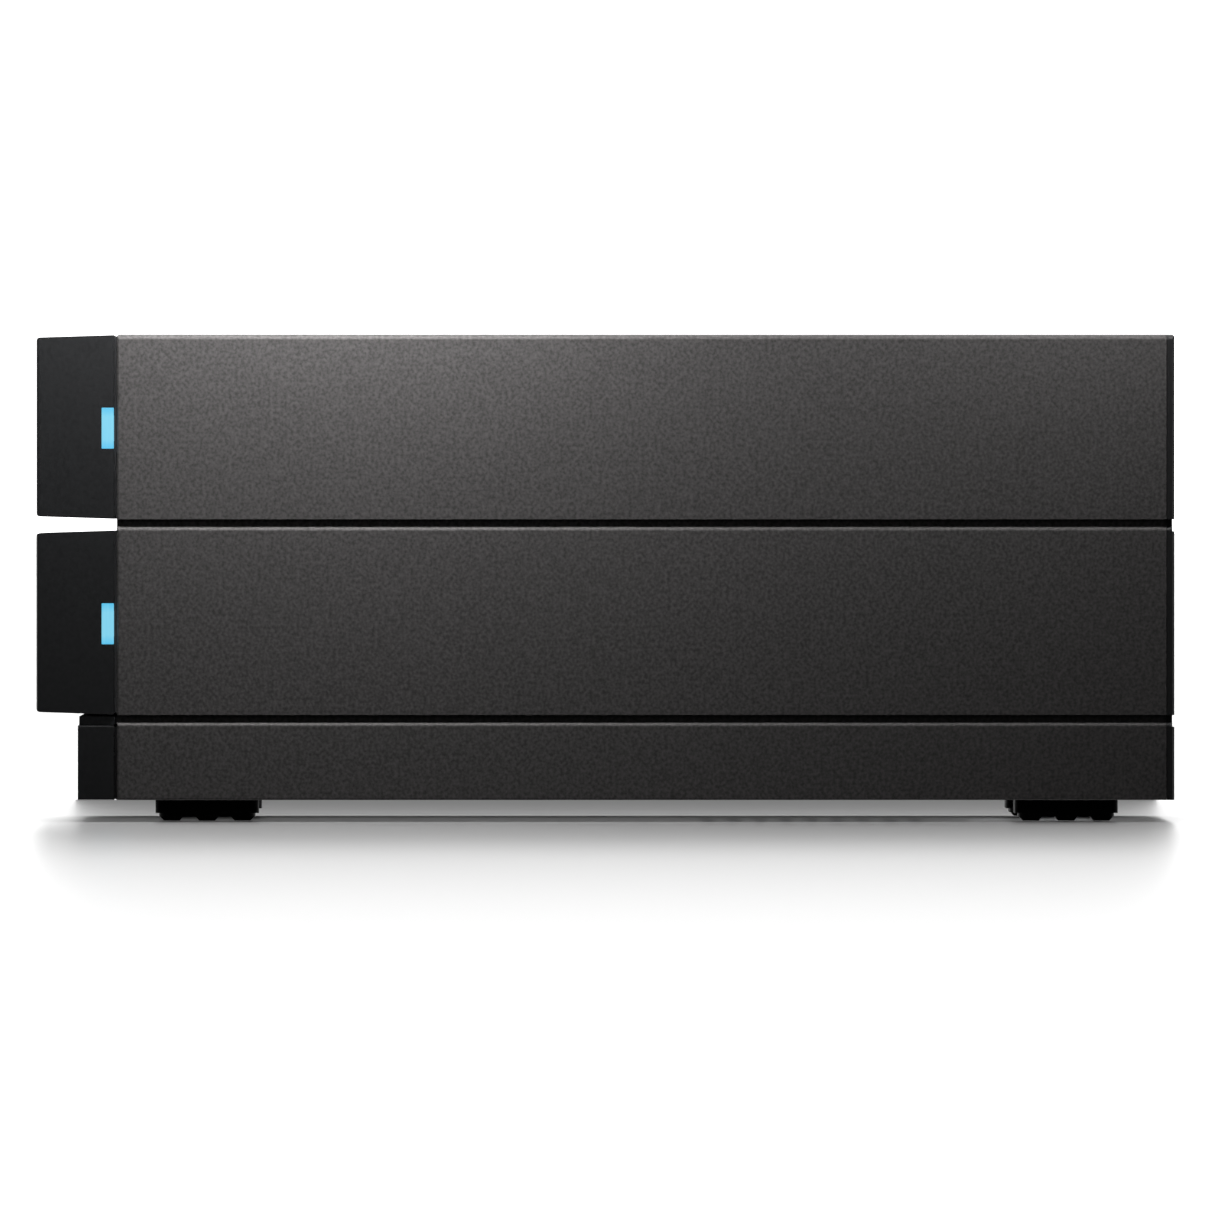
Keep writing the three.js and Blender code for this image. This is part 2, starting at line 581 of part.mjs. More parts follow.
// The socket on the backplane that the drive's blade connector slides over.
function driveSocket() {
  const [z0, z1] = [CONNECTOR_Z[0] + 0.5, CONNECTOR_Z[1] - 0.4];
  const [x0, x1] = [CONNECTOR_X[0] + 0.5, CONNECTOR_X[1] - 0.5];
  const range = [DRIVE_REAR - 5, BACKPLANE[0] - 0.1];
  const body = block([x0, x1], range, [z0, z1]);
  const slit = (a, b) => block([a, b], [range[0] - 1, range[0] + 5], around((z0 + z1) / 2, 1.3));
  return cut(body, slit(x0 + 2, x0 + 13), slit(x0 + 16, x1 - 2));
}

// ---- Fan ----

function fanFrame() {
  const half = FAN_SIZE / 2;
  const plan = roundedRectangle([-half, half], [FAN_Z - half, FAN_Z + half], 3);
  const centre = [0, FAN_Z];
  let frame = cut(prism("y", plan, FAN, 2), rod("y", FAN_BORE, [FAN[0] - 1, FAN[1] + 1], centre, 40));
  // Between its two flanges the frame is a round duct.
  const duct = rod("y", FAN_BORE + 1.3, [FAN[0] + 3, FAN[1] - 3], centre, 40);
  const between = block([-half - 1, half + 1], [FAN[0] + 3.2, FAN[1] - 3.2], [FAN_Z - half - 1, FAN_Z + half + 1]);
  frame = cut(frame, cut(between, duct));
  for (const x of [-1, 1])
    for (const z of [-1, 1]) {
      const at = [x * FAN_SCREW_OFFSET, FAN_Z + z * FAN_SCREW_OFFSET];
      frame = cut(frame, rod("y", 2.2, [FAN[0] - 1, FAN[1] + 1], at, 12));
    }
  const motor = rod("y", 15, [FAN[1] - 2.2, FAN[1]], centre, ROUND);
  const strut = block([-FAN_BORE - 0.6, FAN_BORE + 0.6], [FAN[1] - 2.2, FAN[1] - 0.2], around(FAN_Z, 3));
  const turned = strut.translate([0, 0, -FAN_Z]).rotate([0, 90, 0]).translate([0, 0, FAN_Z]);
  const bearing = rod("y", 3.6, [FAN[0] + 6, FAN[1] - 1], centre, SMALL_ROUND);
  return cut(join(frame, motor, strut, turned, bearing), rod("y", 1.9, [FAN[0] + 5, FAN[1] - 1], centre));
}

// A fan blade is a thin box whose points are turned to a pitch that falls towards the tip.
function bladeSolid(index, count, hub, tip) {
  const [chord, thickness] = [15.5, 1.1];
  const geometry = new THREE.BoxGeometry(tip - hub + 1, thickness, chord, 3, 1, 3);
  geometry.translate((tip + hub - 1) / 2, 0, 0);
  const point = new THREE.Vector3();
  const positions = geometry.getAttribute("position");
  const angle = (index / count) * Math.PI * 2;
  for (let i = 0; i < positions.count; i++) {
    point.fromBufferAttribute(positions, i);
    const share = (point.x - hub) / (tip - hub);
    const camber = 1.3 * (1 - (point.z / (chord / 2)) ** 2);
    point.y += camber;
    point.applyAxisAngle(new THREE.Vector3(1, 0, 0), THREE.MathUtils.degToRad(52 - 18 * share));
    point.applyAxisAngle(new THREE.Vector3(0, 1, 0), angle);
    positions.setXYZ(i, point.x, point.y, point.z);
  }
  const middle = (FAN[0] + FAN[1]) / 2 - 1.2;
  geometry.translate(0, middle, FAN_Z);
  return solidOf(geometry);
}

function fanRotor() {
  const [hub, tip, blades] = [15.5, 27.6, 7];
  const centre = [0, FAN_Z];
  let rotor = cut(
    rod("y", hub, [FAN[0] + 0.8, FAN[1] - 3], centre, ROUND),
    rod("y", hub - 1.3, [FAN[0] + 2.4, FAN[1]], centre, ROUND),
  );
  rotor = join(rotor, rod("y", 1.5, [FAN[0] + 2, FAN[1] - 1.6], centre));
  const sweep = rod("y", tip, [FAN[0] + 0.9, FAN[1] - 2.8], centre, 40);
  for (let i = 0; i < blades; i++) rotor = join(rotor, bladeSolid(i, blades, hub, tip).intersect(sweep));
  return rotor;
}

// ---- One drive bay: everything that slides out with the tray ----

function bezel() {
  const [bottom, top] = BEZEL_Z;
  const nose = 0.6;
  const side = [
    [FRONT + nose, bottom + BEZEL_DRAFT],
    [BEZEL_REAR, bottom],
    [BEZEL_REAR, top],
    [FRONT + nose, top - BEZEL_DRAFT],
    [FRONT + nose * 0.29, top - BEZEL_DRAFT - nose * 0.29],
    [FRONT, top - BEZEL_DRAFT - nose],
    [FRONT, bottom + BEZEL_DRAFT + nose],
    [FRONT + nose * 0.29, bottom + BEZEL_DRAFT + nose * 0.29],
  ];
  const corner = 0.8;
  const plan = new THREE.Shape();
  plan.moveTo(HALF, BEZEL_REAR + 1);
  plan.lineTo(-HALF, BEZEL_REAR + 1);
  plan.lineTo(-HALF, FRONT + corner);
  plan.absarc(-HALF + corner, FRONT + corner, corner, Math.PI, Math.PI * 1.5);
  plan.lineTo(HALF - corner, FRONT);
  plan.absarc(HALF - corner, FRONT + corner, corner, -Math.PI / 2, 0);
  let solid = prism("x", side, [-HALF - 1, HALF + 1]).intersect(prism("z", plan, [-1, BAY_HEIGHT + 1], 3));
  const hollow = block(
    [-HALF + BEZEL_SKIN, HALF - BEZEL_SKIN],
    [FRONT + BEZEL_SKIN, BEZEL_REAR + 1],
    [bottom + BEZEL_SKIN + 0.3, top - BEZEL_SKIN - 0.3],
  );
  const centre = [LOCK.x, LOCK.z];
  const boss = rod("y", 7, [FRONT + 1, BEZEL_REAR - 0.4], centre, ROUND);
  solid = join(cut(solid, hollow), boss);
  const lightNotch = block(
    [HALF - BEZEL_SKIN - 1, HALF + 1],
    [BEZEL_REAR - LIGHT.depth - 0.05, BEZEL_REAR + 1],
    around(LIGHT.z, LIGHT.height + 0.1),
  );
  return cut(solid, rod("y", LOCK.face + 0.25, [FRONT - 1, BEZEL_REAR + 1], centre, ROUND), lightNotch);
}

// The window shows at the bezel's rear edge; an arm carries the light in from behind the tray's front wall.
function lightPipe() {
  const window = block(
    [HALF - 3.6, HALF - 0.05],
    [BEZEL_REAR - LIGHT.depth, BEZEL_REAR - 0.05],
    around(LIGHT.z, LIGHT.height),
  );
  const arm = block([48.4, HALF - 3.5], [BEZEL_REAR - LIGHT.depth, BEZEL_REAR - 0.05], around(LIGHT.z, 5));
  const stalk = block([48.4, 50.8], [BEZEL_REAR - 0.2, -88.6], around(LIGHT.z, 3.4));
  return join(window, arm, stalk);
}

function tray() {
  const [bottom, floorTop] = TRAY_FLOOR;
  const railTop = 24;
  const wallTop = INNER_TOP - UPPER_BAY - 0.4;
  const inner = TRAY_HALF - TRAY_WALL;
  const length = [TRAY_FRONT[1] - 0.1, TRAY_REAR];
  const frontPlate = [TRAY_FRONT[0], FRONT_PLATE_REAR];
  let solid = block([-FRONT_PLATE_HALF, FRONT_PLATE_HALF], frontPlate, [0.5, BAY_HEIGHT - 0.5]);
  solid = join(solid, block([-TRAY_HALF, TRAY_HALF], TRAY_FRONT, [bottom, wallTop]));
  solid = join(solid, block([-TRAY_HALF, TRAY_HALF], length, [bottom, floorTop]));
  for (const side of [-1, 1]) {
    const rail = side > 0 ? [inner, TRAY_HALF] : [-TRAY_HALF, -inner];
    const runner = side > 0 ? [inner + 1, RUNNER.x] : [-RUNNER.x, -inner - 1];
    solid = join(solid, block(rail, length, [bottom, railTop]));
    solid = join(solid, block(runner, [RUNNER.front, TRAY_REAR - 1], RUNNER.z));
    for (const y of SIDE_HOLES_Y) {
      const bore = rod("x", 1.9, side > 0 ? [40, 60] : [-60, -40], [y, SIDE_HOLE_Z], 12);
      const seat = side > 0 ? [TRAY_HALF - 1.35, 60] : [-60, -TRAY_HALF + 1.35];
      solid = cut(solid, bore, rod("x", 3.1, seat, [y, SIDE_HOLE_Z], SMALL_ROUND));
    }
  }
  // Windows under the drive let air through and reach its circuit board.
  for (const x of [-26, 26])
    for (const y of [-58, -20, 18]) {
      const window = roundedRectangle(around(x, 38), around(y, 28), 4);
      solid = cut(solid, prism("z", window, [bottom - 1, floorTop + 1], 1));
    }
  // The front wall has air slots, a bore for the lock and a hole for the light pipe.
  for (let i = 0; i < 7; i++) {
    const slot = roundedRectangle(around(-27 + i * 10, 4), [8, 27], 1.9);
    solid = cut(solid, prism("y", slot, [TRAY_FRONT[0] - 1, TRAY_FRONT[1] + 1], 1));
  }
  solid = cut(solid, block([47.9, 51.3], [TRAY_FRONT[0] - 1, TRAY_FRONT[1] + 1], around(LIGHT.z, 4)));
  solid = cut(solid, rod("y", LOCK.shaft + 0.4, [TRAY_FRONT[0] - 1, TRAY_FRONT[1] + 1], [LOCK.x, LOCK.z], 20));
  const camSweep = block([-60, -inner + 0.5], [TRAY_FRONT[1], LOCK.cam[1] + 0.5], [14, railTop + 1]);
  return cut(solid, camSweep);
}

// The sealed casting of a 3.5-inch drive, with its disc chamber, connector recess and side holes.
function driveBody() {
  const half = DRIVE.width / 2;
  const plan = roundedRectangle([-half, half], [DRIVE_FRONT, DRIVE_REAR], 2);
  const topZ = DRIVE_COVER_Z[0] - 0.1;
  let solid = prism("z", plan, [DRIVE_Z[0], topZ], 2);
  solid = cut(
    solid,
    rod("z", 48.5, [DRIVE_Z[0] + 5.5, topZ + 1], [0, DISC_CENTRE_Y], 40),
    block([-40, 40], [5, 50], [DRIVE_Z[0] + 10, topZ + 1]),
    block([-46.5, 46.5], [-40, 52.5], [DRIVE_Z[0] - 1, DRIVE_Z[0] + 3.4]),
    block(CONNECTOR_X, [DRIVE_REAR - 7.5, DRIVE_REAR + 1], [CONNECTOR_Z[0], CONNECTOR_Z[1]]),
  );
  for (const side of [-1, 1])
    for (const y of SIDE_HOLES_Y) {
      const range = side > 0 ? [half - 6.5, half + 1] : [-half - 1, -half + 6.5];
      solid = cut(solid, rod("x", 1.8, range, [y, SIDE_HOLE_Z], 12));
    }
  return solid;
}

function driveCover() {
  const half = DRIVE.width / 2 - 0.4;
  const range = [DRIVE_FRONT + 0.4, DRIVE_REAR - 0.4];
  const [low, high] = DRIVE_COVER_Z;
  const plate = prism("z", roundedRectangle([-half, half], range, 3), [low, high - 0.35], 2);
  const field = roundedRectangle([-half + 5, half - 5], [range[0] + 5, range[1] - 5], 9);
  const raised = prism("z", field, [low + 0.2, high], 3);
  const dimple = rod("z", 9, [high - 0.3, high + 1], [0, DISC_CENTRE_Y], 24);
  return cut(join(plate, raised), dimple);
}

function driveBoard() {
  const outline = [[-46, -39.5], [46, -39.5], [46, 20], [30, 52], [-46, 52]];
  const board = prism("z", outline, [DRIVE_Z[0] + 0.7, DRIVE_Z[0] + 2.3]);
  return cut(board, rod("z", 13, [0, 10], [0, DISC_CENTRE_Y], 24));
}

// The coin-turned lock: a slotted face, a shaft and a square end that drives the cam.
function lockBarrel() {
  const centre = [LOCK.x, LOCK.z];
  const faceY = FRONT + 0.35;
  const face = rod("y", LOCK.face, [faceY, BEZEL_REAR - 0.3], centre, ROUND);
  const shaft = rod("y", LOCK.shaft, [BEZEL_REAR - 0.4, LOCK.cam[0] - 0.3], centre, SMALL_ROUND);
  const square = block(around(LOCK.x, 3), [LOCK.cam[0] - 0.4, LOCK.cam[1] + 0.4], around(LOCK.z, 3));
  const coinSlot = block(around(LOCK.x, 7.6), [faceY - 1, faceY + 2.2], around(LOCK.z, 1.7));
  return cut(join(face, shaft, square), coinSlot);
}

function lockCam() {
  const finger = roundedRectangle(around(LOCK.x, 5), [LOCK.z - 2, LOCK.z + LOCK.camReach], 1);
  const cam = join(prism("y", finger, LOCK.cam, 2), rod("y", 4, LOCK.cam, [LOCK.x, LOCK.z], 20));
  const bore = [LOCK.cam[0] - 1, LOCK.cam[1] + 1];
  return cut(cam, block(around(LOCK.x, 3.3), bore, around(LOCK.z, 3.3)));
}

// Flush screws hold the drive between the tray's rails.
function driveScrews(bay, name) {
  const geometry = screwGeometry(2.8, 1.15, 1.5, 4.6);
  for (const [sideName, side] of [["left", -1], ["right", 1]])
    SIDE_HOLES_Y.forEach((y, i) => {
      const screw = piece(bay, `drive_screw_${name}_${sideName}_${i + 1}`, geometry, paint.screwSteel);
      screw.position.set(side * (TRAY_HALF - 0.1), y, SIDE_HOLE_Z);
      screw.rotation.z = side > 0 ? -Math.PI / 2 : Math.PI / 2;
    });
}

function driveBay(name, z) {
  const bay = new THREE.Group();
  bay.position.z = z;
  addSolid(bay, `bezel_${name}`, bezel(), paint.blackPlastic);
  addSolid(bay, `light_pipe_${name}`, lightPipe(), paint.light);
  addSolid(bay, `tray_${name}`, tray(), paint.guidePlastic);
  addSolid(bay, `drive_body_${name}`, driveBody(), paint.casting);
  addSolid(bay, `drive_cover_${name}`, driveCover(), paint.cover);
  addSolid(bay, `drive_board_${name}`, driveBoard(), paint.board);
  addSolid(bay, `lock_barrel_${name}`, lockBarrel(), paint.zincSteel);
  addSolid(bay, `lock_cam_${name}`, lockCam(), paint.zincSteel);
  addSolid(bay, `drive_socket_${name}`, driveSocket(), paint.connector);
  driveScrews(bay, name);
  return bay;
}

// ---- Assembly ----

const root = new THREE.Group();

addSolid(root, "enclosure_shell", enclosureShell(), paint.anodised);
addSolid(root, "base_plate", basePlate(), paint.blackSteel);
feet(root);
addSolid(root, "bay_floor", bayFloor(), paint.blackPlastic);
addSolid(root, "bay_divider", bayDivider(), paint.zincSteel);
addSolid(root, "side_guide_left", sideGuide(-1), paint.guidePlastic);
addSolid(root, "side_guide_right", sideGuide(1), paint.guidePlastic);

addSolid(root, "front_panel", frontPanel(), paint.blackPlastic);
addSolid(root, "button_light_ring", buttonRing(), paint.ring);
addSolid(root, "power_button", powerButton(), paint.blackPlastic);
addSolid(root, "power_switch", powerSwitch(), paint.chip);
const frontPort = addSolid(root, "front_usb_port", usbSocket(13.2, 5.8, 14), paint.portMetal);
frontPort.position.set(FRONT_PORT.x, PANEL_FRONT + 0.3, PORT_FOOT);

addSolid(root, "rear_panel", rearPanel(), paint.blackSteel);
rearScrews(root);
const jack = geometryOf(ethernetJack());
piece(root, "ethernet_jack_1", jack, paint.portMetal).position.x = REAR_PORTS.ethernet[0];
piece(root, "ethernet_jack_2", jack, paint.portMetal).position.x = REAR_PORTS.ethernet[1];
const rearPort = addSolid(root, "rear_usb_port", usbSocket(13.2, 5.8, 14), paint.portMetal);
rearPort.rotation.z = Math.PI;
rearPort.position.set(REAR_PORTS.usb, PORT_REAR, PORT_FOOT);
addSolid(root, "power_inlet", powerInlet(), paint.connector).position.x = REAR_PORTS.dc;

addSolid(root, "main_board", mainBoard(), paint.board);
addSolid(root, "processor", processor(), paint.chip);
addSolid(root, "heat_sink", heatSink(), paint.heatSink);
addSolid(root, "backplane_board", backplane(), paint.board);
addSolid(root, "fan_frame", fanFrame(), paint.fanPlastic);
addSolid(root, "fan_rotor", fanRotor(), paint.fanPlastic);

root.add(driveBay("lower", LOWER_BAY));
root.add(driveBay("upper", UPPER_BAY));

export default root;
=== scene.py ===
"""A desktop network storage unit: its finishes, small parts, stage, lights and camera.

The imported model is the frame. A piece is made in millimetres, and new_piece scales it to metres. The
stage, the lights and the camera are in metres.
The front faces -Y, and the camera looks at the right-hand side, from +X.
"""

import json
import math
import random

import bmesh
import bpy
from mathutils import Matrix, Vector


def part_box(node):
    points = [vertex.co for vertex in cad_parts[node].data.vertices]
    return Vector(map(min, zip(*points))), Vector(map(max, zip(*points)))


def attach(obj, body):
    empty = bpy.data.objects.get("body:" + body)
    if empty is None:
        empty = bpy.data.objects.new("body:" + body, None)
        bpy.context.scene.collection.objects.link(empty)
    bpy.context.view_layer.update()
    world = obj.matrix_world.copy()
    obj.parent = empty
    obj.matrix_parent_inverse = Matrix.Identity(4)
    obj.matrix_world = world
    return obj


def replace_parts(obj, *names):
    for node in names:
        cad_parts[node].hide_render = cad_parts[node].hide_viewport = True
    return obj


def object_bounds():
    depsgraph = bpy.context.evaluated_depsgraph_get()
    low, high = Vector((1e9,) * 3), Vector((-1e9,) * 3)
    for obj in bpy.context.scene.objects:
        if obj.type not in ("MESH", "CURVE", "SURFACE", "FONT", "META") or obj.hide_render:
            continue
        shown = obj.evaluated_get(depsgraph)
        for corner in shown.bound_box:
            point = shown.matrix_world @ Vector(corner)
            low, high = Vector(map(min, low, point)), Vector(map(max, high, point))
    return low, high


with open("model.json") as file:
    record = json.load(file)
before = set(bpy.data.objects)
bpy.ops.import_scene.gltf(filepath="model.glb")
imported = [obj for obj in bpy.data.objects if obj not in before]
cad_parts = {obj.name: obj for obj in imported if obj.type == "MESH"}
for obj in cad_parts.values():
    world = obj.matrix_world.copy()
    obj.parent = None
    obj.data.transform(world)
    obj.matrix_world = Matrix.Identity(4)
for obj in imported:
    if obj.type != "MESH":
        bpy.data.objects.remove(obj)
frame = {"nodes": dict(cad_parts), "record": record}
CAD_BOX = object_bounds()

MM = 0.001
RECORD = frame["record"]
SLOT_OF = {part["node"]: part["material_slot"] for part in RECORD["subparts"]}
BODY_OF = {node: body for body, nodes in RECORD["behaviour"]["bodies"].items() for node in nodes}
BAYS = ("upper", "lower")


# ---- Materials ----

def new_material(name):
    material = bpy.data.materials.new(name)
    material.use_nodes = True
    return material, material.node_tree, material.node_tree.nodes["Principled BSDF"]


def add_node(tree, kind, links=(), **values):
    """A node with its inputs set by name. links holds (input name or number, output socket) pairs."""
    node = tree.nodes.new(kind)
    for key, value in values.items():
        node.inputs[key.replace("_", " ").title()].default_value = value
    for key, output in links:
        tree.links.new(output, node.inputs[key])
    return node


def surface_position(tree, stretch=(1, 1, 1)):
    """The place on the piece at rest in millimetres, stretched for brushed or drawn surfaces."""
    place = tree.nodes.new("ShaderNodeTexCoord")
    mapping = add_node(tree, "ShaderNodeMapping", [("Vector", place.outputs["Object"])])
    mapping.inputs["Scale"].default_value = [1 / MM / s for s in stretch]
    return mapping.outputs["Vector"]


def noise_at(tree, position, size_mm, detail=2.0):
    """Noise whose features are about size_mm across."""
    noise = add_node(tree, "ShaderNodeTexNoise", [("Vector", position)], scale=1 / size_mm, detail=detail)
    return noise.outputs[0]


def ranged(tree, value, low, high, from_low=0.3, from_high=0.7):
    node = add_node(tree, "ShaderNodeMapRange", [("Value", value)])
    node.inputs["From Min"].default_value = from_low
    node.inputs["From Max"].default_value = from_high
    node.inputs["To Min"].default_value = low
    node.inputs["To Max"].default_value = high
    return node.outputs["Result"]


def toned(tree, value, dark, light, low=0.3, high=0.7):
    """A colour that goes from dark to light as value goes from low to high."""
    ramp = add_node(tree, "ShaderNodeValToRGB", [("Fac", value)])
    ramp.color_ramp.elements[0].position = low
    ramp.color_ramp.elements[0].color = (*dark, 1)
    ramp.color_ramp.elements[1].position = high
    ramp.color_ramp.elements[1].color = (*light, 1)
    return ramp.outputs["Color"]


def finish(name, color, roughness, metallic=0.0, grain=0.5, tone=0.12, depth=0.02, wear=0.0,
           stretch=(1, 1, 1), **constants):
    """A surface with a fine grain in its tone, gloss and height, and a slow drift in its gloss.

    grain is the size of its features in millimetres, and depth sets how high they stand.
    """
    material, tree, shader = new_material(name)
    position = surface_position(tree, stretch)
    fine = noise_at(tree, position, grain)
    broad = noise_at(tree, surface_position(tree), 22, 3)
    dark = [c * (1 - tone) for c in color]
    light = [c * (1 + tone) for c in color]
    base = toned(tree, fine, dark, light)
    if wear:
        # Handling leaves convex edges a little paler.
        edge = tree.nodes.new("ShaderNodeNewGeometry").outputs["Pointiness"]
        mask = ranged(tree, edge, 0, wear, 0.52, 0.6)
        mix = tree.nodes.new("ShaderNodeMix")
        mix.data_type = "RGBA"
        tree.links.new(mask, mix.inputs[0])
        tree.links.new(base, mix.inputs[6])
        mix.inputs[7].default_value = (*[min(1, c * 2.2 + 0.02) for c in color], 1)
        base = mix.outputs[2]
    tree.links.new(base, shader.inputs["Base Color"])
    drift = 0.015
    gloss = add_node(tree, "ShaderNodeMath",
                     [(0, ranged(tree, fine, -0.04, 0.04)),
                      (1, ranged(tree, broad, roughness - drift, roughness + drift))])
    tree.links.new(gloss.outputs[0], shader.inputs["Roughness"])
    bump = add_node(tree, "ShaderNodeBump", [("Height", fine)], strength=0.6, distance=depth * MM)
    tree.links.new(bump.outputs["Normal"], shader.inputs["Normal"])
    shader.inputs["Metallic"].default_value = metallic
    for key, value in constants.items():
        shader.inputs[key.replace("_", " ")].default_value = value
    return material


def glowing(name, middle, edge, strength, window):
    """A lit light guide: pale along its middle and more saturated at its ends, with fine moulding streaks.

    window is the lit face's (lowest, highest) corner in metres. The stem behind it is only faintly lit.
    """
    material, tree, shader = new_material(name)
    position = add_node(tree, "ShaderNodeSeparateXYZ",
                        [("Vector", tree.nodes.new("ShaderNodeTexCoord").outputs["Object"])])
    low, high = window
    centre = (low.z + high.z) / 2
    away = add_node(tree, "ShaderNodeMath", [(0, position.outputs["Z"])])
    away.operation = "SUBTRACT"
    away.inputs[1].default_value = centre
    distance = add_node(tree, "ShaderNodeMath", [(0, away.outputs[0])])
    distance.operation = "ABSOLUTE"
    half = (high.z - low.z) / 2
    share = ranged(tree, distance.outputs[0], 0, 1, 0.55 * half, 1.02 * half)
    streaks = noise_at(tree, surface_position(tree, (1, 1, 14)), 0.45)
    mixed = add_node(tree, "ShaderNodeMath", [(0, share), (1, ranged(tree, streaks, -0.18, 0.18))])
    color = toned(tree, mixed.outputs[0], middle, edge, 0.0, 1.0)
    tree.links.new(color, shader.inputs["Emission Color"])
    shader.inputs["Base Color"].default_value = (0.02, 0.05, 0.07, 1)
    lit = ranged(tree, position.outputs["X"], strength * 0.12, strength, low.x - 2 * MM, low.x)
    tree.links.new(lit, shader.inputs["Emission Strength"])
    shader.inputs["Roughness"].default_value = 0.35
    return material


def circuit_board_material(name, color):
    """Solder mask over copper: traces show as slightly paler runs along both axes."""
    material, tree, shader = new_material(name)
    position = surface_position(tree)
    runs = [noise_at(tree, surface_position(tree, s), 1.3, 0) for s in ((9, 1, 1), (1, 9, 1))]
    most = add_node(tree, "ShaderNodeMath", [(0, runs[0]), (1, runs[1])])
    most.operation = "MAXIMUM"
    copper = toned(tree, most.outputs[0], color, [c * 1.9 for c in color], 0.56, 0.6)
    tree.links.new(copper, shader.inputs["Base Color"])
    rough = ranged(tree, noise_at(tree, position, 0.3), 0.35, 0.5)
    tree.links.new(rough, shader.inputs["Roughness"])
    bump = add_node(tree, "ShaderNodeBump", [("Height", most.outputs[0])], strength=0.4, distance=0.05 * MM)
    tree.links.new(bump.outputs["Normal"], shader.inputs["Normal"])
    return material


def label_material(name, paper, print_color, low, high):
    """A printed sticker with plain blocks of tone and no words. low and high are its corners in metres."""
    material, tree, shader = new_material(name)
    place = tree.nodes.new("ShaderNodeTexCoord").outputs["Object"]
    axes = add_node(tree, "ShaderNodeSeparateXYZ", [("Vector", place)])
    across = ranged(tree, axes.outputs["X"], 0, 1, low.x, high.x)
    along = ranged(tree, axes.outputs["Y"], 0, 1, low.y, high.y)

    def band(value, start, end):
        above = add_node(tree, "ShaderNodeMath", [(0, value)])
        above.operation = "GREATER_THAN"
        above.inputs[1].default_value = start
        below = add_node(tree, "ShaderNodeMath", [(0, value)])
        below.operation = "LESS_THAN"
        below.inputs[1].default_value = end
        both = add_node(tree, "ShaderNodeMath", [(0, above.outputs[0]), (1, below.outputs[0])])
        both.operation = "MULTIPLY"
        return both.outputs[0]

    def printed(under, mask, color):
        mix = tree.nodes.new("ShaderNodeMix")
        mix.data_type = "RGBA"
        tree.links.new(mask, mix.inputs[0])
        tree.links.new(under, mix.inputs[6])
        mix.inputs[7].default_value = (*color, 1)
        return mix.outputs[2]

    def overlap(first, second):
        node = add_node(tree, "ShaderNodeMath", [(0, first), (1, second)])
        node.operation = "MULTIPLY"
        return node.outputs[0]

    base = toned(tree, noise_at(tree, surface_position(tree), 0.8), [c * 0.96 for c in paper], paper)
    base = printed(base, band(along, 0.84, 1.01), print_color)
    for start in (0.62, 0.68, 0.74):
        line = overlap(band(along, start, start + 0.025), band(across, 0.06, 0.62))
        base = printed(base, line, (0.35, 0.36, 0.38))
    block = overlap(band(along, 0.08, 0.3), band(across, 0.06, 0.4))
    base = printed(base, block, (0.6, 0.61, 0.63))
    tree.links.new(base, shader.inputs["Base Color"])
    shader.inputs["Roughness"].default_value = 0.42
    return material


MATERIALS = {
    "anodised_shell": finish("anodised_shell", (0.09, 0.0858, 0.0855), 0.62, 0.5, grain=0.62, tone=0.36,
                             depth=0.05),
    "black_plastic": finish("black_plastic", (0.0115, 0.012, 0.013), 0.5, grain=0.7, tone=0.15, depth=0.02,
                            Specular_IOR_Level=0.35),
    "tray_plastic": finish("tray_plastic", (0.025, 0.026, 0.028), 0.55, grain=0.5, depth=0.04),
    "rubber": finish("rubber", (0.0045, 0.0045, 0.0048), 0.75, grain=0.4, depth=0.05,
                     Specular_IOR_Level=0.2),
    "light_ring": finish("light_ring", (0.7, 0.78, 0.82), 0.35, grain=0.8, tone=0.04),
    "black_steel": finish("black_steel", (0.014, 0.014, 0.015), 0.5, 0.1, grain=0.45, tone=0.2, depth=0.06),
    "zinc_steel": finish("zinc_steel", (0.5, 0.51, 0.52), 0.34, 0.95, grain=1.2, tone=0.1, depth=0.01),
    "screw_steel": finish("screw_steel", (0.33, 0.34, 0.35), 0.3, 1.0, grain=0.3, tone=0.12, depth=0.01,
                          wear=0.5),
    "drive_casting": finish("drive_casting", (0.36, 0.37, 0.38), 0.5, 0.8, grain=0.6, tone=0.1, depth=0.06),
    "drive_cover": finish("drive_cover", (0.42, 0.43, 0.44), 0.38, 0.9, grain=0.35, tone=0.08, depth=0.003,
                          stretch=(1, 18, 1)),
    "circuit_board": circuit_board_material("circuit_board", (0.012, 0.07, 0.035)),
    "chip": finish("chip", (0.016, 0.017, 0.018), 0.55, grain=0.25, depth=0.015),
    "heat_sink": finish("heat_sink", (0.06, 0.061, 0.063), 0.42, 0.8, grain=0.3, tone=0.15,
                        stretch=(1, 12, 1)),
    "connector_plastic": finish("connector_plastic", (0.014, 0.014, 0.015), 0.48, grain=0.5, depth=0.02),
    "port_metal": finish("port_metal", (0.5, 0.51, 0.52), 0.28, 1.0, grain=0.5, tone=0.07, depth=0.008,
                         stretch=(1, 8, 1)),
    "fan_plastic": finish("fan_plastic", (0.017, 0.017, 0.018), 0.44, grain=0.6, depth=0.02),
}
# Painted light: a black made far paler than the bezels' plastic, so that the bay floor's front edge, which
# sits in shade under the bezels, shows lighter.
BLACK_WITH_PAINTED_LIGHT = finish("black_lifted_by_painted_light", (0.085, 0.088, 0.093), 0.45, grain=0.6, tone=0.15, depth=0.02)
GOLD = finish("gold_contact", (0.83, 0.58, 0.2), 0.25, 1.0, grain=0.3, tone=0.06, depth=0.005)
BLUE_PLASTIC = finish("blue_plastic", (0.02, 0.1, 0.42), 0.4, grain=0.5, tone=0.08)
TAN_PLASTIC = finish("capacitor_body", (0.3, 0.22, 0.11), 0.5, grain=0.3, tone=0.1)
BRIGHT_TIN = finish("tinned_can", (0.62, 0.62, 0.62), 0.25, 1.0, grain=0.6, tone=0.06, depth=0.008)
